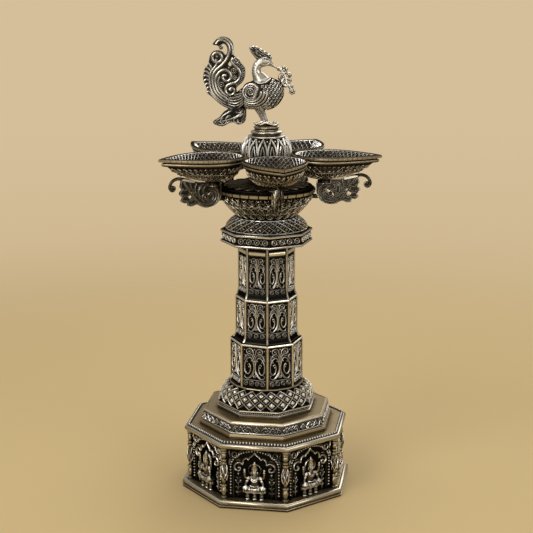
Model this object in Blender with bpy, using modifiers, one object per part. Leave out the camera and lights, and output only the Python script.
# Five-bowl brass oil lamp with a bird finial.
# An octagonal pedestal carries a stepped octagonal column, a round oil vessel with five scroll
# brackets, five pointed oil bowls, and a lotus knob with a long-tailed water bird on top.
# Metres, +Z up, origin at the centre of the foot's underside, front panel towards -Y.

import math

import bmesh
import bpy
from mathutils import Matrix, Vector

# Octagonal pieces are sized by the radius to their corners.
SIDES = 8
FLAT = math.cos(math.pi / SIDES)  # distance to a flat, as a share of the corner radius
GAP = 0.0003  # air between two castings that sit on each other

# Pedestal
FOOT_CORNER = 0.1196
FOOT_HEIGHT = 0.0110
FOOT_LIP = 0.0050  # width of the sloping edge
FOOT_REBATE = 0.0030  # how deep the casing stands in the foot
FOOT_INSIDE = 0.0960  # corner radius of the hole underneath
CASING_CORNER = 0.1060
CASING_WALL = 0.0050
PANEL_HEIGHT = 0.0695  # from the foot to the deck
DECK_CORNER = 0.1152
DECK_THICKNESS = 0.0082
DECK_HOLE = 0.0600
PILLAR_RADIUS = 0.0042
PILLAR_SETBACK = 0.0014  # how far a pillar's axis stands outside the casing's corner
NICHE_WIDTH = 0.0560
NICHE_HEIGHT = 0.0640
NICHE_SILL = 0.0004
NICHE_DEPTH = 0.0024
FIGURE_POINTS = 7

# Upper pedestal
FRIEZE_CORNER = 0.0886
FRIEZE_FOOT = 0.0935
FRIEZE_HEIGHT = 0.0218
FRIEZE_WALL = 0.0045
PLINTH_CORNER = 0.0690
PLINTH_HEIGHT = 0.0090
PLINTH_HOLE = 0.0500
BELL_CORNER = 0.0664  # corner radius where the bell leaves the plinth
BELL_TOP = 0.0500  # radius where it meets the collar
BELL_HEIGHT = 0.0228
BELL_WALL = 0.0035
COLLAR_RADIUS = 0.0510
COLLAR_HEIGHT = 0.0028
SOCKET_RADIUS = 0.0130
SOCKET_DEPTH = 0.0180

# Column
LOWER_CORNER = 0.0487
LOWER_HEIGHT = 0.0600
MIDDLE_CORNER = 0.0412
MIDDLE_HEIGHT = 0.0592
UPPER_CORNER = 0.0374
UPPER_HEIGHT = 0.0735
COLUMN_WALL = 0.0040
PANEL_DEPTH = 0.0008  # how deep each carved panel lies in its frame
PANEL_MARGIN = 0.0030
PANEL_RIB = 0.0012  # half the width of the lyre-shaped ribs in each panel
COLUMN_TURN = math.radians(10.6)  # how far the column stands turned from the pedestal
CAP_CORNER = 0.0619
CAP_HEIGHT = 0.0173
CAP_WEB = 0.0060
CAP_TURN = math.radians(13.1)
DOME_RADIUS = 0.0545
DOME_TOP = 0.0392
DOME_HEIGHT = 0.0181
ROD_RADIUS = 0.0050
ROD_GRIP = 0.0150  # thread length in the pedestal's socket
ROD_STUB = 0.0100  # thread length in the vessel
NUT_WIDTH = 0.0160
NUT_HEIGHT = 0.0060

# Vessel and brackets
VESSEL_FOOT = 0.0388
VESSEL_RIM = 0.0652
VESSEL_HEIGHT = 0.0367
VESSEL_WALL = 0.0030
VESSEL_BOSS = 0.0110
VESSEL_SIDES = 20
LID_THICKNESS = 0.0030
NECK_RADIUS = 0.0175
NECK_HEIGHT = 0.0290
BOWLS = 5
BOWL_TURN = math.radians(17.1)  # direction of the first bowl, from the front towards +X
BOWL_REACH = 0.0770  # from the lamp's axis to the round part's centre
ARM_THICKNESS = 0.0080
ARM_TENON = 0.0030
ARM_TENON_HEIGHT = 0.0265  # above the vessel's underside
ARM_PAD = 0.0085
ARM_DROP = 0.0360  # from the bowl's underside to the scroll's lowest point; the scroll is drawn to it
PEG_RADIUS = 0.0028
PEG_LENGTH = 0.0060

# Oil bowls
BOWL_RADIUS = 0.0415
BOWL_SPOUT = 0.0760  # from the round part's centre to the tip of the spout
BOWL_DEPTH = 0.0330
BOWL_WALL = 0.0028
BOWL_RIM_HEIGHT = 0.4600  # rim above the ground

# Knob and bird
KNOB_RADIUS = 0.0319
KNOB_HEIGHT = 0.0446
KNOB_FOOT = 0.0215
KNOB_TOP = 0.0160
STUD_RADIUS = 0.0040
STUD_LENGTH = 0.0220
PLATE_RADIUS = 0.0168
PLATE_HEIGHT = 0.0037
PLATE_STUB = 0.0080
BIRD_TURN = math.radians(9.1)
BIRD_HEIGHT = 0.1192  # from the plate's underside to the top of the tail
TAIL_THICKNESS = 0.0030
TAIL_RIB = 0.0021
LEG_RADIUS = 0.0021
LEG_SPREAD = 0.0042
STRIDE = 0.0052
TOE_LENGTH = 0.0125
WING_RADIUS = 0.0113
CREST_THICKNESS = 0.0036

# Heights of the pieces that stand on each other
casing_bottom = FOOT_HEIGHT - FOOT_REBATE + GAP
casing_top = FOOT_HEIGHT + PANEL_HEIGHT
deck_bottom = casing_top + GAP
deck_top = deck_bottom + DECK_THICKNESS
frieze_bottom = deck_top + GAP
frieze_top = frieze_bottom + FRIEZE_HEIGHT
plinth_bottom = frieze_top + GAP
plinth_top = plinth_bottom + PLINTH_HEIGHT
bell_bottom = plinth_top + GAP
bell_top = bell_bottom + BELL_HEIGHT
collar_bottom = bell_top + GAP
collar_top = collar_bottom + COLLAR_HEIGHT
lower_bottom = collar_top + GAP
lower_top = lower_bottom + LOWER_HEIGHT
middle_bottom = lower_top + GAP
middle_top = middle_bottom + MIDDLE_HEIGHT
upper_bottom = middle_top + GAP
upper_top = upper_bottom + UPPER_HEIGHT
cap_bottom = upper_top + GAP
cap_top = cap_bottom + CAP_HEIGHT
dome_bottom = cap_top + GAP
dome_top = dome_bottom + DOME_HEIGHT
vessel_bottom = dome_top + GAP
vessel_top = vessel_bottom + VESSEL_HEIGHT
lid_bottom = vessel_top + GAP
neck_top = lid_bottom + LID_THICKNESS + NECK_HEIGHT
knob_bottom = neck_top + GAP
knob_top = knob_bottom + KNOB_HEIGHT
plate_bottom = knob_top + GAP
plate_top = plate_bottom + PLATE_HEIGHT
bowl_bottom = BOWL_RIM_HEIGHT - BOWL_DEPTH
pad_top = bowl_bottom - GAP
rod_hole = ROD_RADIUS + GAP
octagon_hole = rod_hole / FLAT


def clear_scene():
    for obj in list(bpy.data.objects):
        bpy.data.objects.remove(obj, do_unlink=True)


def new_collection(name):
    made = bpy.data.collections.new(name)
    bpy.context.scene.collection.children.link(made)
    return made


def brass(name, colour, roughness):
    made = bpy.data.materials.new(name)
    made.use_nodes = True
    shader = made.node_tree.nodes["Principled BSDF"]
    shader.inputs["Base Color"].default_value = (*colour, 1.0)
    shader.inputs["Roughness"].default_value = roughness
    shader.inputs["Metallic"].default_value = 1.0
    return made


clear_scene()
lamp = new_collection("swan_oil_lamp")
tools = new_collection("cutters")
DARK_BRASS = brass("antique_brass", (0.20, 0.16, 0.11), 0.42)
BRIGHT_BRASS = brass("rubbed_brass", (0.56, 0.46, 0.30), 0.34)
STEEL = brass("zinc_steel", (0.55, 0.56, 0.58), 0.40)


def frame(name, parent=None, location=(0, 0, 0), turn=0.0):
    """An empty that carries the pieces of one body."""
    made = bpy.data.objects.new(name, None)
    lamp.objects.link(made)
    made.location = location
    made.rotation_euler.z = turn
    made.parent = parent
    return made


def place(name, mesh, metal, parent, location=(0, 0, 0), turn=0.0):
    made = bpy.data.objects.new(name, mesh)
    lamp.objects.link(made)
    if not mesh.materials:
        mesh.materials.append(metal)
    made.location = location
    made.rotation_euler.z = turn
    made.parent = parent
    return made


def helper(obj):
    """Turns an object into a cutter or a piece to be fused, which is not part of the lamp."""
    for owner in list(obj.users_collection):
        owner.objects.unlink(obj)
    tools.objects.link(obj)
    obj.hide_render = True
    obj.display_type = "WIRE"
    return obj


def outline_mesh(name, points, closed):
    mesh = bpy.data.meshes.new(name)
    edges = [(i, i + 1) for i in range(len(points) - 1)]
    if closed:
        edges.append((len(points) - 1, 0))
    mesh.from_pydata([(r, 0, z) for r, z in points], edges, [])
    return mesh


def turned(name, profile, metal, parent, sides=SIDES, closed=True, turn=0.0, location=(0, 0, 0)):
    """A turned or octagonal piece. The profile runs down its outer side, as (radius, height)."""
    made = place(name, outline_mesh(name, profile, closed), metal, parent, location, turn)
    screw = made.modifiers.new("turn", "SCREW")
    screw.steps = screw.render_steps = sides
    screw.use_merge_vertices = True
    screw.merge_threshold = 0.00002
    screw.use_smooth_shade = sides > SIDES
    return made


def baked(obj):
    """A new mesh of the object as its modifiers or its bevel make it. The object is removed."""
    bpy.context.view_layer.update()
    graph = bpy.context.evaluated_depsgraph_get()
    mesh = bpy.data.meshes.new_from_object(obj.evaluated_get(graph), depsgraph=graph)
    mesh.name = obj.name
    mesh.transform(obj.matrix_world)
    bpy.data.objects.remove(obj, do_unlink=True)
    body = bmesh.new()
    body.from_mesh(mesh)
    bmesh.ops.remove_doubles(body, verts=body.verts, dist=0.00001)
    bmesh.ops.recalc_face_normals(body, faces=body.faces)
    body.to_mesh(mesh)
    body.free()
    mesh.materials.clear()
    return mesh


def spare(name, mesh):
    """A helper object at the origin."""
    made = bpy.data.objects.new(name, mesh)
    tools.objects.link(made)
    return helper(made)


def boolean(target, tool, operation):
    step = target.modifiers.new(f"{operation.lower()}_{tool.name}"[:60], "BOOLEAN")
    step.operation = operation
    step.solver = "EXACT"
    step.use_self = operation == "UNION"
    step.object = tool
    return step


def fused(name, meshes):
    """One mesh from several that overlap."""
    first = spare(name, meshes[0])
    others = [spare(f"{name}_{i}", mesh) for i, mesh in enumerate(meshes[1:], 1)]
    for other in others:
        boolean(first, other, "UNION")
    first.hide_render = False
    mesh = baked(first)
    for other in others:
        bpy.data.objects.remove(other, do_unlink=True)
    return mesh


def tube(name, points, radii, resolution=1):
    """The mesh of a tapering round bar through the points."""
    curve = bpy.data.curves.new(name, "CURVE")
    curve.dimensions = "3D"
    curve.bevel_depth = 1.0
    curve.bevel_resolution = resolution
    curve.use_fill_caps = True
    spline = curve.splines.new("POLY")
    spline.points.add(len(points) - 1)
    for point, place_at, radius in zip(spline.points, points, radii):
        point.co = (*place_at, 1.0)
        point.radius = radius
    made = bpy.data.objects.new(name, curve)
    tools.objects.link(made)
    return baked(made)


def flat_plate(name, outlines, thickness, resolution=2):
    """The mesh of a flat plate with rounded outlines in the XZ plane, the first one outside."""
    curve = bpy.data.curves.new(name, "CURVE")
    curve.dimensions = "2D"
    curve.fill_mode = "BOTH"
    curve.extrude = thickness / 2
    curve.resolution_u = resolution
    for outline in outlines:
        spline = curve.splines.new("BEZIER")
        spline.use_cyclic_u = True
        spline.bezier_points.add(len(outline) - 1)
        for knot, (x, z) in zip(spline.bezier_points, outline):
            knot.co = (x, z, 0)
            knot.handle_left_type = knot.handle_right_type = "AUTO"
    made = bpy.data.objects.new(name, curve)
    tools.objects.link(made)
    made.rotation_euler.x = math.radians(90)
    return baked(made)


def loft(name, rings, ring_closed=False):
    """The mesh of a skin over rings of equally many points: capped, or joined end to start."""
    body = bmesh.new()
    loops = [[body.verts.new(point) for point in ring] for ring in rings]
    pairs = list(zip(loops, loops[1:]))
    if ring_closed:
        pairs.append((loops[-1], loops[0]))
    for low, high in pairs:
        for i in range(len(low)):
            j = (i + 1) % len(low)
            body.faces.new((low[i], low[j], high[j], high[i]))
    if not ring_closed:
        body.faces.new(list(reversed(loops[0])))
        body.faces.new(loops[-1])
    bmesh.ops.recalc_face_normals(body, faces=body.faces)
    mesh = bpy.data.meshes.new(name)
    body.to_mesh(mesh)
    body.free()
    return mesh


def cylinder(name, radius, length, centre, axis="Z", sides=12):
    """The mesh of a round bar, centred on a point and lying along an axis."""
    turn = {"X": Matrix.Rotation(math.pi / 2, 4, "Y"), "Y": Matrix.Rotation(math.pi / 2, 4, "X")}
    body = bmesh.new()
    bmesh.ops.create_cone(
        body, cap_ends=True, segments=sides, radius1=radius, radius2=radius, depth=length
    )
    body.transform(Matrix.Translation(centre) @ turn.get(axis, Matrix.Identity(4)))
    mesh = bpy.data.meshes.new(name)
    body.to_mesh(mesh)
    body.free()
    return mesh


def ball(name, centre, size, sides=10, rings=6):
    """The mesh of an ellipsoid with the given half sizes."""
    body = bmesh.new()
    bmesh.ops.create_uvsphere(body, u_segments=sides, v_segments=rings, radius=1.0)
    body.transform(Matrix.Translation(centre) @ Matrix.Diagonal((*size, 1.0)))
    mesh = bpy.data.meshes.new(name)
    body.to_mesh(mesh)
    body.free()
    return mesh


def box(name, size, centre):
    body = bmesh.new()
    bmesh.ops.create_cube(body, size=1.0)
    body.transform(Matrix.Translation(centre) @ Matrix.Diagonal((*size, 1.0)))
    mesh = bpy.data.meshes.new(name)
    body.to_mesh(mesh)
    body.free()
    return mesh


def around(count, start=0.0):
    """Angles of equally spaced copies, from the front towards +X."""
    return [start + i * math.tau / count for i in range(count)]


def facing(angle):
    """Rotation about Z that turns +X to the direction at that angle from the front."""
    return angle - math.pi / 2


# Pedestal


def build_foot(body):
    lip = FOOT_CORNER - FOOT_LIP
    seat = CASING_CORNER + GAP / FLAT
    profile = [
        (lip, FOOT_HEIGHT),
        (FOOT_CORNER - 0.0006, FOOT_HEIGHT * 0.62),
        (FOOT_CORNER, FOOT_HEIGHT * 0.54),
        (FOOT_CORNER, FOOT_HEIGHT * 0.18),
        (FOOT_CORNER - 0.0010, FOOT_HEIGHT * 0.11),
        (FOOT_CORNER - 0.0010, 0.0),
        (FOOT_INSIDE, 0.0),
        (FOOT_INSIDE, FOOT_HEIGHT - FOOT_REBATE),
        (seat, FOOT_HEIGHT - FOOT_REBATE),
        (seat, FOOT_HEIGHT),
    ]
    turned("foot_ring", profile, BRIGHT_BRASS, body, turn=math.pi / SIDES)


def niche_outline():
    """Half of a cusped arch as (half width, height), from the sill to the point."""
    half = NICHE_WIDTH / 2
    spring = NICHE_HEIGHT * 0.56
    outline = [(half, 0.0), (half, spring)]
    # Two foils on each side, then the point. A foil is an arc between two cusps.
    cusps = [
        (half, spring),
        (half * 0.66, spring + NICHE_HEIGHT * 0.16),
        (half * 0.30, spring + NICHE_HEIGHT * 0.30),
    ]
    bulge = 0.38
    for (u0, z0), (u1, z1) in zip(cusps, cusps[1:]):
        for step in (1, 2):
            share = step / 3
            swell = bulge * math.sin(math.pi * share)
            outline.append(
                (u0 + (u1 - u0) * share + (z1 - z0) * swell, z0 + (z1 - z0) * share - (u1 - u0) * swell)
            )
        outline.append((u1, z1))
    outline.append((0.0, NICHE_HEIGHT))
    return outline


def niche_cutter():
    """The mesh of one niche, to be cut into the panel that faces -Y."""
    right = niche_outline()
    left = [(-u, z) for u, z in reversed(right[:-1])]
    face = CASING_CORNER * FLAT
    sill = FOOT_HEIGHT + NICHE_SILL
    rings = []
    for depth in (-face - NICHE_DEPTH, -face + NICHE_DEPTH):
        rings.append([(u, depth, sill + z) for u, z in right + left])
    return loft("niche", rings)


def build_casing(body):
    inside = CASING_CORNER - CASING_WALL
    profile = [
        (CASING_CORNER, casing_top),
        (CASING_CORNER, casing_bottom),
        (inside, casing_bottom),
        (inside, casing_top),
    ]
    casing = turned("base_casing", profile, DARK_BRASS, body, turn=math.pi / SIDES)
    shape = niche_cutter()
    flute = cylinder(
        "flute", PILLAR_RADIUS + GAP, PANEL_HEIGHT * 3, (pillar_axis(), 0, casing_top), sides=12
    )
    for i, angle in enumerate(around(SIDES)):
        niche = spare(f"niche_{i + 1}", shape)
        niche.rotation_euler.z = angle
        boolean(casing, niche, "DIFFERENCE")
        corner = spare(f"flute_{i + 1}", flute)
        corner.rotation_euler.z = facing(angle + math.pi / SIDES)
        boolean(casing, corner, "DIFFERENCE")


def pillar_axis():
    return CASING_CORNER + PILLAR_SETBACK


def build_pillars(body):
    bottom = FOOT_HEIGHT + GAP
    top = deck_bottom - GAP
    height = top - bottom
    # Share of the height and of the radius, down the baluster
    turning = [
        (1.00, 0.74), (0.90, 0.56), (0.85, 1.00), (0.79, 0.94), (0.72, 0.50), (0.46, 1.00),
        (0.29, 0.50), (0.25, 0.94), (0.20, 0.56), (0.00, 0.90),
    ]
    profile = [(0.0, top)]
    profile += [(PILLAR_RADIUS * r, bottom + height * h) for h, r in turning]
    profile += [(0.0, bottom)]
    for i, angle in enumerate(around(SIDES, math.pi / SIDES)):
        x = pillar_axis() * math.sin(angle)
        y = -pillar_axis() * math.cos(angle)
        turned(
            f"corner_pillar_{i + 1}", profile, BRIGHT_BRASS, body, sides=8, closed=False,
            location=(x, y, 0),
        )


def figure_mesh():
    """A figure in relief seated on a stool, facing -Y, with its flat back at y = 0."""
    # Height, half width and depth of each section, from the stool's feet to the crown's tip
    sections = [
        (0.0000, 0.0140, 0.0072), (0.0070, 0.0138, 0.0074), (0.0090, 0.0164, 0.0098),
        (0.0150, 0.0166, 0.0112), (0.0190, 0.0098, 0.0082), (0.0240, 0.0064, 0.0060),
        (0.0315, 0.0098, 0.0074), (0.0345, 0.0046, 0.0052), (0.0365, 0.0030, 0.0044),
        (0.0400, 0.0044, 0.0060), (0.0440, 0.0044, 0.0056), (0.0485, 0.0030, 0.0042),
        (0.0530, 0.0008, 0.0018),
    ]
    rings = []
    for height, half, depth in sections:
        ring = []
        for i in range(FIGURE_POINTS):
            angle = math.pi * i / (FIGURE_POINTS - 1)
            ring.append((half * math.cos(angle), -depth * math.sin(angle), height))
        rings.append(ring)
    return loft("figure", rings)


def build_figures(body):
    mesh = figure_mesh()
    back = CASING_CORNER * FLAT - NICHE_DEPTH + GAP
    floor = FOOT_HEIGHT + NICHE_SILL + GAP
    for i, angle in enumerate(around(SIDES)):
        at = (back * math.sin(angle), -back * math.cos(angle), floor)
        place(f"niche_figure_{i + 1}", mesh, BRIGHT_BRASS, body, at, angle)


def build_deck(body):
    inner_lip = CASING_CORNER - CASING_WALL - GAP / FLAT
    middle = DECK_THICKNESS / 2
    profile = [
        (DECK_CORNER - 0.0034, deck_top),
        (DECK_CORNER - 0.0028, deck_top - 0.0008),
        (DECK_CORNER - 0.0008, deck_bottom + middle * 1.45),
        (DECK_CORNER, deck_bottom + middle * 0.95),
        (DECK_CORNER - 0.0009, deck_bottom + middle * 0.40),
        (DECK_CORNER - 0.0030, deck_bottom),
        (inner_lip, deck_bottom),
        (inner_lip, deck_bottom - 0.0030),
        (inner_lip - 0.0030, deck_bottom - 0.0030),
        (inner_lip - 0.0030, deck_top - 0.0040),
        (DECK_HOLE, deck_top - 0.0040),
        (DECK_HOLE, deck_top),
    ]
    turned("base_deck", profile, BRIGHT_BRASS, body, turn=math.pi / SIDES)


def build_frieze(body):
    inside = FRIEZE_CORNER - FRIEZE_WALL
    bead = frieze_top + 0.0006
    profile = [
        (FRIEZE_CORNER - 0.0042, frieze_top),
        (FRIEZE_CORNER - 0.0036, bead),
        (FRIEZE_CORNER - 0.0012, bead - 0.0002),
        (FRIEZE_CORNER - 0.0002, frieze_top - 0.0014),
        (FRIEZE_CORNER - 0.0010, frieze_top - 0.0034),
        (FRIEZE_CORNER, frieze_top - 0.0044),
        (FRIEZE_CORNER, frieze_bottom + 0.0066),
        (FRIEZE_FOOT - 0.0014, frieze_bottom + 0.0058),
        (FRIEZE_FOOT, frieze_bottom + 0.0030),
        (FRIEZE_FOOT, frieze_bottom),
        (inside, frieze_bottom),
        (inside, frieze_top - 0.0040),
        (PLINTH_HOLE, frieze_top - 0.0040),
        (PLINTH_HOLE, frieze_top),
    ]
    turned("frieze_tier", profile, DARK_BRASS, body, turn=math.pi / SIDES)


def build_plinth(body):
    profile = [
        (BELL_CORNER, plinth_top),
        (PLINTH_CORNER - 0.0008, plinth_top),
        (PLINTH_CORNER - 0.0002, plinth_top - 0.0012),
        (PLINTH_CORNER - 0.0020, plinth_top - 0.0020),
        (PLINTH_CORNER - 0.0020, plinth_bottom + 0.0036),
        (PLINTH_CORNER, plinth_bottom + 0.0030),
        (PLINTH_CORNER, plinth_bottom),
        (PLINTH_HOLE, plinth_bottom),
        (PLINTH_HOLE, plinth_top),
    ]
    turned("bell_plinth", profile, BRIGHT_BRASS, body, turn=math.pi / SIDES)


def octagon_to_circle(radius, roundness, height, points=24):
    """A ring between an octagon with corners at that radius and a circle."""
    ring = []
    for i in range(points):
        angle = i * math.tau / points
        within = (angle % (math.tau / SIDES)) - math.pi / SIDES
        straight = radius * FLAT / math.cos(within)
        r = straight + (radius - straight) * roundness
        turn = angle + math.pi / SIDES
        ring.append((r * math.cos(turn), r * math.sin(turn), height))
    return ring


def build_bell(body):
    # Share of the height, share of the way in from the plinth to the collar, roundness in plan
    shape = [(0.0, 0.0, 0.0), (0.22, 0.06, 0.4), (0.55, 0.24, 0.75), (0.83, 0.60, 1.0), (1.0, 1.0, 1.0)]
    rings = []
    for h, inward, roundness in shape:
        radius = BELL_CORNER + (BELL_TOP - BELL_CORNER) * inward
        rings.append(octagon_to_circle(radius, roundness, bell_bottom + BELL_HEIGHT * h))
    for h, inward, roundness in reversed(shape):
        radius = BELL_CORNER + (BELL_TOP - BELL_CORNER) * inward - BELL_WALL / FLAT
        height = min(bell_bottom + BELL_HEIGHT * h, bell_top)
        rings.append(octagon_to_circle(radius, roundness, height))
    place("lattice_bell", loft("lattice_bell", rings, ring_closed=True), DARK_BRASS, body)


def build_socket(body):
    """The collar on the bell, with the threaded socket that takes the column's rod."""
    ledge = BELL_TOP - BELL_WALL / FLAT - GAP
    profile = [
        (COLLAR_RADIUS - 0.0008, collar_top),
        (COLLAR_RADIUS, collar_top - COLLAR_HEIGHT * 0.35),
        (COLLAR_RADIUS - 0.0004, collar_bottom + COLLAR_HEIGHT * 0.2),
        (COLLAR_RADIUS - 0.0010, collar_bottom),
        (ledge, collar_bottom),
        (ledge, collar_bottom - 0.0024),
        (SOCKET_RADIUS, collar_bottom - 0.0024),
        (SOCKET_RADIUS, collar_top - SOCKET_DEPTH),
        (rod_hole, collar_top - SOCKET_DEPTH),
        (rod_hole, collar_top),
    ]
    turned("base_socket", profile, BRIGHT_BRASS, body, sides=16, turn=math.pi / SIDES)


# Column


def panel_cutters(name, column, corner, low, high, turn):
    """Sinks one shallow panel into each face of an octagonal stage."""
    face = corner * FLAT
    width = 2 * corner * math.sin(math.pi / SIDES) - 2 * PANEL_MARGIN
    shape = box(name, (width, PANEL_DEPTH * 2, high - low), (0, -face, (low + high) / 2))
    for i, angle in enumerate(around(SIDES, turn + math.pi / SIDES)):
        cutter = spare(f"{name}_{i + 1}", shape)
        cutter.rotation_euler.z = angle
        boolean(column, cutter, "DIFFERENCE")


def panel_ribs(name, column, corner, low, high, turn):
    """Raises two mirrored ribs, shaped like a lyre, on each panel above its row of rosettes."""
    ground = corner * FLAT - PANEL_DEPTH
    half = corner * math.sin(math.pi / SIDES) - PANEL_MARGIN
    bottom = low + (high - low) * 0.17
    # Share of the half width, share of the height above the rosettes
    lyre = [(0.54, 0.08), (0.11, 0.32), (0.20, 0.78), (0.80, 0.90)]
    ribs = []
    for side in (-1, 1):
        path = [(side * half * u, -ground, bottom + (high - bottom) * v) for u, v in lyre]
        ribs.append(ridge(f"{name}_rib", path, PANEL_RIB, PANEL_DEPTH))
    shape = fused(name, ribs)
    for i, angle in enumerate(around(SIDES, turn + math.pi / SIDES)):
        rib = spare(f"{name}_{i + 1}", shape)
        rib.rotation_euler.z = angle
        boolean(column, rib, "UNION")


def ridge(name, path, half, height):
    """A three-sided bar along a path on a face that looks towards -Y, sunk a little into the face."""
    rings = []
    for i, (x, y, z) in enumerate(path):
        before = path[max(i - 1, 0)]
        after = path[min(i + 1, len(path) - 1)]
        length = math.hypot(after[0] - before[0], after[2] - before[2])
        across = (-(after[2] - before[2]) / length * half, (after[0] - before[0]) / length * half)
        foot = y + height * 0.3
        rings.append([
            (x - across[0], foot, z - across[1]),
            (x, y - height, z),
            (x + across[0], foot, z + across[1]),
        ])
    return loft(name, rings)


def build_shaft(body):
    inside = LOWER_CORNER - COLUMN_WALL
    floor = lower_bottom + 0.0050
    profile = [
        (LOWER_CORNER, lower_top),
        (LOWER_CORNER, lower_bottom),
        (octagon_hole, lower_bottom),
        (octagon_hole, floor),
        (inside, floor),
        (inside, lower_top - 0.0040),
        (MIDDLE_CORNER - COLUMN_WALL, lower_top - 0.0040),
        (MIDDLE_CORNER - COLUMN_WALL, lower_top),
    ]
    lower = turned("shaft_lower", profile, DARK_BRASS, body, turn=COLUMN_TURN)
    rim = 0.0034
    foot = 0.0024
    low = lower_bottom + foot
    panel_cutters("lower_panel", lower, LOWER_CORNER, low, lower_top - rim, COLUMN_TURN)
    panel_ribs("lower_ribs", lower, LOWER_CORNER, low, lower_top - rim, COLUMN_TURN)

    flare = 0.0062
    inside = MIDDLE_CORNER - COLUMN_WALL
    profile = [
        (MIDDLE_CORNER, middle_top),
        (MIDDLE_CORNER, middle_bottom + flare),
        (MIDDLE_CORNER + 0.0010, middle_bottom + flare * 0.5),
        (MIDDLE_CORNER + 0.0036, middle_bottom),
        (inside, middle_bottom),
        (inside, middle_top - 0.0040),
        (UPPER_CORNER - COLUMN_WALL, middle_top - 0.0040),
        (UPPER_CORNER - COLUMN_WALL, middle_top),
    ]
    middle = turned("shaft_middle", profile, DARK_BRASS, body, turn=COLUMN_TURN)
    low = middle_bottom + flare
    panel_cutters("middle_panel", middle, MIDDLE_CORNER, low, middle_top - rim, COLUMN_TURN)
    panel_ribs("middle_ribs", middle, MIDDLE_CORNER, low, middle_top - rim, COLUMN_TURN)

    inside = UPPER_CORNER - COLUMN_WALL
    plain_band = 0.0075
    cornice = 0.0075
    profile = [
        (UPPER_CORNER + 0.0012, upper_top),
        (UPPER_CORNER + 0.0002, upper_top - cornice * 0.5),
        (UPPER_CORNER, upper_top - cornice),
        (UPPER_CORNER, upper_bottom + flare),
        (UPPER_CORNER + 0.0008, upper_bottom + flare * 0.5),
        (UPPER_CORNER + 0.0028, upper_bottom),
        (inside, upper_bottom),
        (inside, upper_top),
    ]
    upper = turned("shaft_upper", profile, DARK_BRASS, body, turn=COLUMN_TURN)
    top = upper_top - cornice - plain_band
    panel_cutters("upper_panel", upper, UPPER_CORNER, upper_bottom + flare, top, COLUMN_TURN)
    panel_ribs("upper_ribs", upper, UPPER_CORNER, upper_bottom + flare, top, COLUMN_TURN)


def build_cap(body):
    recess = CAP_CORNER - 0.0024
    inside = CAP_CORNER - 0.0110
    profile = [
        (CAP_CORNER - 0.0044, cap_top),
        (CAP_CORNER - 0.0008, cap_top),
        (CAP_CORNER, cap_top - 0.0014),
        (CAP_CORNER - 0.0004, cap_top - 0.0030),
        (recess, cap_top - 0.0040),
        (recess, cap_bottom + 0.0040),
        (CAP_CORNER - 0.0004, cap_bottom + 0.0030),
        (CAP_CORNER, cap_bottom + 0.0014),
        (CAP_CORNER - 0.0008, cap_bottom),
        (octagon_hole, cap_bottom),
        (octagon_hole, cap_bottom + CAP_WEB),
        (inside, cap_bottom + CAP_WEB),
        (inside, cap_top),
    ]
    turned("cap_plate", profile, BRIGHT_BRASS, body, turn=CAP_TURN)

    # Share of the height and of the way in, up the outside of the cushion-shaped dome
    shape = [(1.0, 1.0), (0.92, 0.98), (0.72, 0.62), (0.48, 0.29), (0.22, 0.08), (0.0, 0.0)]
    profile = []
    for h, inward in shape:
        profile.append((DOME_RADIUS + (DOME_TOP - DOME_RADIUS) * inward, dome_bottom + DOME_HEIGHT * h))
    ceiling = dome_top - 0.0040
    profile += [
        (DOME_RADIUS - 0.0040, dome_bottom),
        (DOME_RADIUS - 0.0050, dome_bottom + DOME_HEIGHT * 0.30),
        (DOME_TOP - 0.0030, ceiling),
        (rod_hole, ceiling),
        (rod_hole, dome_top),
    ]
    turned("cap_dome", profile, DARK_BRASS, body, sides=20)


def nut(name, bottom, body):
    corner = NUT_WIDTH / 2 / math.cos(math.pi / 6)
    hole = rod_hole / math.cos(math.pi / 6)
    profile = [
        (corner, bottom + NUT_HEIGHT),
        (corner, bottom),
        (hole, bottom),
        (hole, bottom + NUT_HEIGHT),
    ]
    turned(name, profile, STEEL, body, sides=6)


def build_rod(body):
    bottom = collar_top - ROD_GRIP
    top = vessel_bottom + ROD_STUB
    chamfer = 0.0008
    profile = [
        (0.0, top),
        (ROD_RADIUS - chamfer, top),
        (ROD_RADIUS, top - chamfer),
        (ROD_RADIUS, bottom + chamfer),
        (ROD_RADIUS - chamfer, bottom),
        (0.0, bottom),
    ]
    turned("tie_rod", profile, STEEL, body, sides=12, closed=False)
    nut("tie_nut_lower", lower_bottom + 0.0050 + GAP, body)
    nut("tie_nut_upper", cap_bottom + CAP_WEB + GAP, body)


# Vessel and brackets


def vessel_side(grow=0.0):
    """The outside of the oil vessel from its rim down, as (radius, height)."""
    reach = VESSEL_RIM - VESSEL_FOOT
    # Share of the height, share of the way out from the foot to the rim
    shape = [
        (1.00, 0.94), (0.95, 1.00), (0.87, 0.97), (0.84, 0.91), (0.62, 0.78), (0.40, 0.55),
        (0.18, 0.28), (0.0, 0.0),
    ]
    return [(VESSEL_FOOT + reach * out + grow, vessel_bottom + VESSEL_HEIGHT * h) for h, out in shape]


def tenon_height():
    return vessel_bottom + ARM_TENON_HEIGHT


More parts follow.
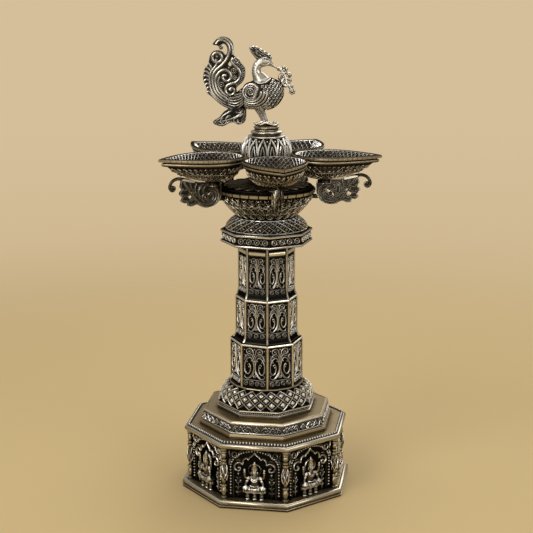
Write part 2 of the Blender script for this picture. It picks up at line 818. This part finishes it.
def build_vessel(body):
    inside = []
    for h, out in [(0.16, 0.20), (0.50, 0.645), (0.86, 0.905), (1.0, 0.905)]:
        radius = VESSEL_FOOT + (VESSEL_RIM - VESSEL_FOOT) * out - VESSEL_WALL
        inside.append((radius, vessel_bottom + VESSEL_HEIGHT * h))
    floor = inside[0][1]
    boss_top = vessel_bottom + ROD_STUB + 0.0030
    profile = vessel_side()
    profile += [
        (rod_hole, vessel_bottom),
        (rod_hole, boss_top),
        (VESSEL_BOSS, boss_top),
        (VESSEL_BOSS, floor),
    ]
    profile += inside
    vessel = turned("vessel", profile, DARK_BRASS, body, sides=VESSEL_SIDES)
    length = VESSEL_RIM - VESSEL_FOOT
    shape = cylinder(
        "mortise", ARM_TENON + GAP, length, (VESSEL_RIM - length * 0.3, 0, tenon_height()), "X", 8
    )
    for i, angle in enumerate(around(BOWLS, BOWL_TURN)):
        hole = spare(f"mortise_{i + 1}", shape)
        hole.rotation_euler.z = facing(angle)
        boolean(vessel, hole, "DIFFERENCE")

    rim = VESSEL_FOOT + (VESSEL_RIM - VESSEL_FOOT) * 0.905 - VESSEL_WALL
    lid_top = lid_bottom + LID_THICKNESS
    profile = [
        (NECK_RADIUS, neck_top),
        (NECK_RADIUS, neck_top - 0.0035),
        (NECK_RADIUS * 0.80, neck_top - 0.0065),
        (NECK_RADIUS * 0.80, lid_top + NECK_HEIGHT * 0.35),
        (NECK_RADIUS * 1.90, lid_top + 0.0022),
        (rim + VESSEL_WALL * 0.4, lid_top - 0.0004),
        (rim + VESSEL_WALL * 0.4, lid_bottom),
        (rim - GAP, lid_bottom),
        (rim - GAP, lid_bottom - 0.0026),
        (rim - 0.0040, lid_bottom - 0.0026),
        (rim - 0.0040, lid_bottom + 0.0002),
        (STUD_RADIUS + GAP, lid_bottom + 0.0002),
        (STUD_RADIUS + GAP, neck_top),
    ]
    turned("vessel_lid", profile, DARK_BRASS, body, sides=VESSEL_SIDES)


def arm_mesh():
    """A pierced leaf-scroll bracket in the XZ plane, with X outward from the lamp's axis."""
    base = tenon_height()
    wall = VESSEL_RIM
    deep = bowl_bottom - ARM_DROP
    unit = ARM_DROP / 36  # the scroll is drawn 36 units deep, out from the vessel and up from its foot
    # The leaf: down the vessel's side, round the scroll's underside, out over three lobes and back
    leaf = [
        (1.2, 18.0), (1.8, 11.0), (5.0, 6.0), (10.0, 3.0), (18.0, 1.2), (29.0, 0.0), (38.5, 5.0), (47.0, 5.0),
        (51.0, 10.0), (58.5, 13.0), (59.0, 19.0), (64.0, 24.0), (59.0, 30.0), (58.0, 37.0), (46.0, 33.0),
        (33.0, 32.7), (3.0, 32.7),
    ]
    holes = [[(42.0, 17.0), (49.0, 19.0), (47.0, 24.0)], [(30.0, 23.5), (36.0, 25.0), (32.0, 30.0)]]
    outlines = [[(wall + u * unit, deep + v * unit) for u, v in outline] for outline in [leaf] + holes]
    rib = ARM_THICKNESS * 0.42
    eye = (wall + 17.5 * unit, deep + 14.0 * unit)
    scroll = spiral(eye, 5.0 * unit, math.radians(60), 0.72, 11.8 * unit, 6)
    scroll += [(wall + u * unit, 0, deep + v * unit) for u, v in ((30.0, 6.2), (42.0, 13.0), (52.0, 26.0))]
    scroll_radii = [rib * 0.8] * 3 + [rib] * 4 + [rib * 0.8, rib * 0.35]
    # The tendril runs out under the bowl's spout and curls down
    tendril = [(wall + 44.0 * unit, 0, deep + 35.0 * unit), (wall + 56.0 * unit, 0, deep + 40.5 * unit)]
    curl = (wall + 68.5 * unit, deep + 31.0 * unit)
    tendril += spiral(curl, 7.2 * unit, math.radians(100), -0.62, 4.8 * unit, 5)
    tendril_radii = [2.6 * unit, 2.4 * unit] + [2.2 * unit] * 5
    pad_thickness = 0.0050
    tenon_end = VESSEL_FOOT + (VESSEL_RIM - VESSEL_FOOT) * 0.79 - VESSEL_WALL - 0.0010
    tenon_length = wall + 0.0060 - tenon_end
    parts = [
        flat_plate("leaf", outlines, ARM_THICKNESS * 0.56, 1),
        tube("scroll", scroll, scroll_radii, 0),
        tube("tendril", tendril, tendril_radii, 0),
        cylinder("pad", ARM_PAD, pad_thickness, (BOWL_REACH, 0, pad_top - pad_thickness / 2), sides=8),
    ]
    bracket = spare("arm_block", fused("arm", parts))
    tenon = cylinder("tenon", ARM_TENON, tenon_length, (tenon_end + tenon_length / 2, 0, base), "X", 8)
    tenon = spare("tenon", tenon)
    boolean(bracket, tenon, "UNION")
    peg_hole = cylinder("peg_hole", PEG_RADIUS + GAP, PEG_LENGTH * 2, (BOWL_REACH, 0, pad_top), sides=8)
    peg_hole = spare("peg_hole", peg_hole)
    boolean(bracket, peg_hole, "DIFFERENCE")
    bracket.hide_render = False
    mesh = baked(bracket)
    for tool in (tenon, peg_hole):
        bpy.data.objects.remove(tool, do_unlink=True)
    return mesh


def build_arms(body):
    mesh = arm_mesh()
    for i, angle in enumerate(around(BOWLS, BOWL_TURN)):
        place(f"arm_{i + 1}", mesh, DARK_BRASS, body, turn=facing(angle))


# Oil bowls


def leaf_ring(radius, spout, height, points=14):
    """A pointed leaf in plan: round behind, and drawn out to a spout along +X."""
    ring = []
    half = points // 2
    quarter = half // 2
    for i in range(half + 1):
        if i <= quarter:
            x = spout * (1 - i / quarter)
            y = radius * (1 - (x / spout) ** 1.8)
        else:
            angle = math.pi / 2 * (1 + (i - quarter) / (half - quarter))
            x = radius * math.cos(angle)
            y = radius * math.sin(angle)
        ring.append((x, y, height))
    mirrored = [(x, -y, z) for x, y, z in reversed(ring[1:-1])]
    return ring + mirrored


def bowl_mesh():
    """An oil bowl about its round part's centre, with its peg, at its height above the ground."""
    top = BOWL_RIM_HEIGHT
    slender = BOWL_SPOUT / BOWL_RADIUS
    # Depth below the rim as a share, radius as a share, and how much of the spout is left
    outside = [
        (1.00, 0.24, 0.0), (0.95, 0.47, 0.10), (0.80, 0.67, 0.40), (0.62, 0.80, 0.64), (0.33, 0.90, 0.87),
        (0.28, 0.955, 0.955), (0.16, 0.955, 0.955), (0.12, 1.00, 1.0), (0.0, 1.00, 1.0),
    ]
    inside = [(0.0, 0.915, 0.96), (0.30, 0.835, 0.78), (0.68, 0.62, 0.40), (0.90, 0.28, 0.0)]
    rings = []
    peg = [(x, y, top - BOWL_DEPTH - PEG_LENGTH) for x, y, _ in leaf_ring(PEG_RADIUS, PEG_RADIUS, 0)]
    rings.append(peg)
    rings.append([(x, y, top - BOWL_DEPTH) for x, y, _ in peg])
    for depth, width, spout in outside + inside:
        radius = BOWL_RADIUS * width
        reach = radius * (1 + (slender - 1) * spout)
        rings.append(leaf_ring(radius, reach, top - BOWL_DEPTH * depth))
    return loft("oil_bowl", rings)


def build_bowls(head):
    mesh = bowl_mesh()
    for i, angle in enumerate(around(BOWLS, BOWL_TURN)):
        at = (BOWL_REACH * math.sin(angle), -BOWL_REACH * math.cos(angle), 0)
        body = frame(f"bowl_frame_{i + 1}", head, at, facing(angle))
        place(f"oil_bowl_{i + 1}", mesh, DARK_BRASS, body)


# Knob and bird


def build_knob(body):
    """The lotus knob, with a socket below for its stud and one above for the bird."""
    # Share of the height and of the largest radius, from the top ring down
    shape = [
        (0.94, 0.655), (0.89, 0.655), (0.855, 0.59), (0.81, 0.75), (0.75, 0.75), (0.60, 0.90),
        (0.38, 1.0), (0.20, 0.96),
    ]
    profile = [(KNOB_TOP, knob_top)]
    profile += [(KNOB_RADIUS * r, knob_bottom + KNOB_HEIGHT * h) for h, r in shape]
    bird_hole = STUD_RADIUS + GAP
    stud_depth = STUD_LENGTH / 2 + GAP
    profile += [
        (KNOB_FOOT, knob_bottom),
        (bird_hole, knob_bottom),
        (bird_hole, knob_bottom + stud_depth),
        (0.0, knob_bottom + stud_depth),
    ]
    # The upper socket is blind, so the profile starts on the axis inside it
    socket_floor = knob_top - PLATE_STUB - GAP
    upper = [(0.0, socket_floor), (bird_hole, socket_floor), (bird_hole, knob_top)]
    turned("lotus_knob", upper + profile, BRIGHT_BRASS, body, sides=20, closed=False)
    chamfer = 0.0006
    top = knob_bottom + STUD_LENGTH / 2
    bottom = top - STUD_LENGTH
    profile = [
        (0.0, top),
        (STUD_RADIUS - chamfer, top),
        (STUD_RADIUS, top - chamfer),
        (STUD_RADIUS, bottom + chamfer),
        (STUD_RADIUS - chamfer, bottom),
        (0.0, bottom),
    ]
    turned("knob_stud", profile, STEEL, body, sides=10, closed=False)


def build_plate(body):
    profile = [
        (0.0, PLATE_HEIGHT),
        (PLATE_RADIUS - 0.0014, PLATE_HEIGHT),
        (PLATE_RADIUS, PLATE_HEIGHT - 0.0010),
        (PLATE_RADIUS, PLATE_HEIGHT * 0.35),
        (PLATE_RADIUS - 0.0014, 0.0),
        (STUD_RADIUS, 0.0),
        (STUD_RADIUS, -PLATE_STUB),
        (0.0, -PLATE_STUB),
    ]
    turned("bird_plate", profile, BRIGHT_BRASS, body, sides=16, closed=False)


def oval_rings(stations, flatness, points=12):
    """Rings across a path in the XZ plane. A station is (x, z, half height)."""
    rings = []
    for i, (x, z, half) in enumerate(stations):
        before = Vector(stations[max(i - 1, 0)][:2])
        after = Vector(stations[min(i + 1, len(stations) - 1)][:2])
        along = (after - before).normalized()
        across = Vector((-along.y, along.x))
        ring = []
        for k in range(points):
            angle = k * math.tau / points
            reach = across * half * math.cos(angle)
            ring.append((x + reach.x, half * flatness * math.sin(angle), z + reach.y))
        rings.append(ring)
    return rings


def to_height(points):
    """Points of the bird's drawing, which is 0.1192 m high, brought to BIRD_HEIGHT."""
    return [tuple(value * BIRD_HEIGHT / 0.1192 for value in point) for point in points]


def bird_mesh():
    """The standing bird facing +X, with its feet above z = PLATE_HEIGHT."""
    body_line = [
        (-0.0520, 0.0352, 0.0050), (-0.0400, 0.0362, 0.0096), (-0.0270, 0.0394, 0.0148),
        (-0.0130, 0.0438, 0.0196), (0.0000, 0.0462, 0.0220), (0.0110, 0.0500, 0.0178),
        (0.0190, 0.0530, 0.0104), (0.0222, 0.0540, 0.0030),
    ]
    neck_line = [
        (-0.0045, 0.0570, 0.0132), (-0.0090, 0.0650, 0.0092), (-0.0126, 0.0715, 0.0064),
        (-0.0134, 0.0775, 0.0054), (-0.0104, 0.0836, 0.0060), (-0.0040, 0.0866, 0.0066),
        (0.0020, 0.0862, 0.0056), (0.0060, 0.0832, 0.0030), (0.0145, 0.0778, 0.0011),
    ]
    crest = [
        (0.0066, 0.0905), (0.0040, 0.0956), (-0.0026, 0.1006), (-0.0120, 0.1055), (-0.0218, 0.1062),
        (-0.0200, 0.0978), (-0.0140, 0.0895), (-0.0080, 0.0860), (0.0020, 0.0870),
    ]
    # The sprig in the beak: blossoms, then leaves down to its tip, as centre and radius
    sprig = [
        ((0.0160, 0, 0.0768), 0.0042), ((0.0228, 0, 0.0742), 0.0044), ((0.0218, 0, 0.0680), 0.0042),
        ((0.0232, 0, 0.0610), 0.0054), ((0.0286, 0, 0.0550), 0.0052), ((0.0330, 0, 0.0500), 0.0044),
    ]
    sole = PLATE_HEIGHT + GAP
    foot_height = sole + LEG_RADIUS
    parts = [
        loft("body", oval_rings(to_height(body_line), 0.78, 10)),
        loft("neck", oval_rings(to_height(neck_line), 0.90, 8)),
        flat_plate("crest", [to_height(crest)], CREST_THICKNESS, 1),
    ]
    for side in (-1, 1):
        y = side * LEG_SPREAD
        ankle = -STRIDE / 2 * (1 + side)
        [wing] = to_height([(-0.0200, side * 0.0092, 0.0487)])
        parts.append(ball("wing", wing, (WING_RADIUS, WING_RADIUS / 2, WING_RADIUS), 12, 4))
        [hip, knee] = to_height([(-0.0055, 0, 0.0280), (-0.0026, 0, 0.0170)])
        leg = [(ankle + hip[0], y, hip[2]), (ankle + knee[0], y, knee[2]), (ankle, y, foot_height)]
        parts.append(tube("leg", leg, [LEG_RADIUS * 2.4, LEG_RADIUS * 1.2, LEG_RADIUS], 0))
        for reach, spread in ((1.0, 0.36), (1.0, -0.10), (-0.7, 0.0)):
            tip = (ankle + reach * TOE_LENGTH, y + side * spread * TOE_LENGTH, foot_height)
            toe = [(ankle - reach * TOE_LENGTH * 0.1, y, foot_height), tip]
            parts.append(tube("toe", toe, [LEG_RADIUS, LEG_RADIUS * 0.6], 0))
    for centre, radius in sprig:
        [centre, size] = to_height([centre, (radius,) * 3])
        parts.append(ball("blossom", centre, size, 6, 4))
    return fused("bird", parts)


def spiral(centre, first_radius, first_angle, turns, last_radius, count):
    """Points of a volute in the XZ plane, as its radius and angle run from first to last."""
    made = []
    for i in range(count):
        share = i / (count - 1)
        radius = first_radius + (last_radius - first_radius) * share
        angle = first_angle + turns * math.tau * share
        made.append((centre[0] + radius * math.cos(angle), 0, centre[1] + radius * math.sin(angle)))
    return made


def tail_mesh():
    """The upright scroll tail and the small leaf under the body, in the XZ plane."""
    # One outline: up the plume's outer edge, over its hook, down its inner edge and round the leaf
    outline = [
        (-0.0500, 0.0260), (-0.0636, 0.0357), (-0.0705, 0.0427), (-0.0775, 0.0510), (-0.0790, 0.0580),
        (-0.0826, 0.0690), (-0.0815, 0.0770), (-0.0750, 0.0865), (-0.0748, 0.0930), (-0.0710, 0.0990),
        (-0.0640, 0.1020), (-0.0570, 0.1000), (-0.0525, 0.0950), (-0.0505, 0.1000), (-0.0510, 0.1060),
        (-0.0557, 0.1100), (-0.0610, 0.1060), (-0.0697, 0.1096), (-0.0660, 0.1160), (-0.0575, 0.1192),
        (-0.0487, 0.1152), (-0.0431, 0.1057), (-0.0430, 0.0950), (-0.0350, 0.0900), (-0.0278, 0.0780),
        (-0.0275, 0.0690), (-0.0313, 0.0608), (-0.0395, 0.0550), (-0.0392, 0.0490), (-0.0426, 0.0453),
        (-0.0360, 0.0400), (-0.0275, 0.0290), (-0.0262, 0.0170), (-0.0283, 0.0089), (-0.0366, 0.0052),
        (-0.0430, 0.0080), (-0.0487, 0.0072), (-0.0575, 0.0030), (-0.0680, 0.0055), (-0.0697, 0.0098),
        (-0.0618, 0.0150),
    ]
    slots = [[(-0.0500, 0.0815), (-0.0470, 0.0880), (-0.0440, 0.0860), (-0.0455, 0.0815)]]
    main_rib = [
        (-0.0440, 0, 0.0320), (-0.0636, 0, 0.0409), (-0.0728, 0, 0.0590), (-0.0697, 0, 0.0755),
        (-0.0580, 0, 0.0880), (-0.0483, 0, 0.0988), (-0.0490, 0, 0.1095), (-0.0580, 0, 0.1157),
        (-0.0662, 0, 0.1122),
    ]
    inner_rib = [(-0.0430, 0, 0.0340), (-0.0600, 0, 0.0450), (-0.0672, 0, 0.0582)]
    inner_rib += spiral((-0.0556, 0.0690), 0.0112, math.pi, -0.85, 0.0045, 6)
    side_rib = [
        (-0.0410, 0, 0.0870), (-0.0350, 0, 0.0770), (-0.0345, 0, 0.0680), (-0.0420, 0, 0.0610),
        (-0.0509, 0, 0.0573), (-0.0530, 0, 0.0500),
    ]
    [eye, (eye_radius,)] = to_height([(-0.0644, 0, 0.0932), (0.0062,)])
    parts = [
        flat_plate("plume", [to_height(line) for line in [outline] + slots], TAIL_THICKNESS, 1),
        tube("main_rib", to_height(main_rib), [TAIL_RIB * 1.2] * 6 + [TAIL_RIB] * 2 + [TAIL_RIB * 0.7], 0),
        tube("inner_rib", to_height(inner_rib), [TAIL_RIB] * len(inner_rib), 0),
        tube("side_rib", to_height(side_rib), [TAIL_RIB * 0.9] * len(side_rib), 0),
        ball("eye", eye, (eye_radius, TAIL_RIB * 1.3, eye_radius), 8, 4),
    ]
    return fused("tail", parts)


def build_bird(finial):
    body = frame("bird_frame", finial, (0, 0, plate_bottom), BIRD_TURN)
    build_plate(body)
    place("bird_tail", tail_mesh(), DARK_BRASS, body)
    bird = place("bird_body", bird_mesh(), BRIGHT_BRASS, body)
    # The tail stands in a slot sawn into the back of the bird
    wide = max(TAIL_THICKNESS, TAIL_RIB * 2.4) + 2 * GAP
    [(length, height), (middle, rise)] = to_height([(0.0400, 0.0600), (-0.0450, 0.0400)])
    slot = box("slot", (length, wide, height), (middle, 0, rise))
    slot = spare("tail_slot", slot)
    slot.parent = body
    boolean(bird, slot, "DIFFERENCE")


def main():
    base = frame("base_frame")
    build_foot(base)
    build_casing(base)
    build_pillars(base)
    build_figures(base)
    build_deck(base)
    build_frieze(base)
    build_plinth(base)
    build_bell(base)
    build_socket(base)
    column = frame("column_frame", base)
    build_shaft(column)
    build_cap(column)
    build_rod(column)
    head = frame("head_frame", column)
    build_vessel(head)
    build_arms(head)
    build_bowls(head)
    finial = frame("finial_frame", head)
    build_knob(finial)
    build_bird(finial)


main()
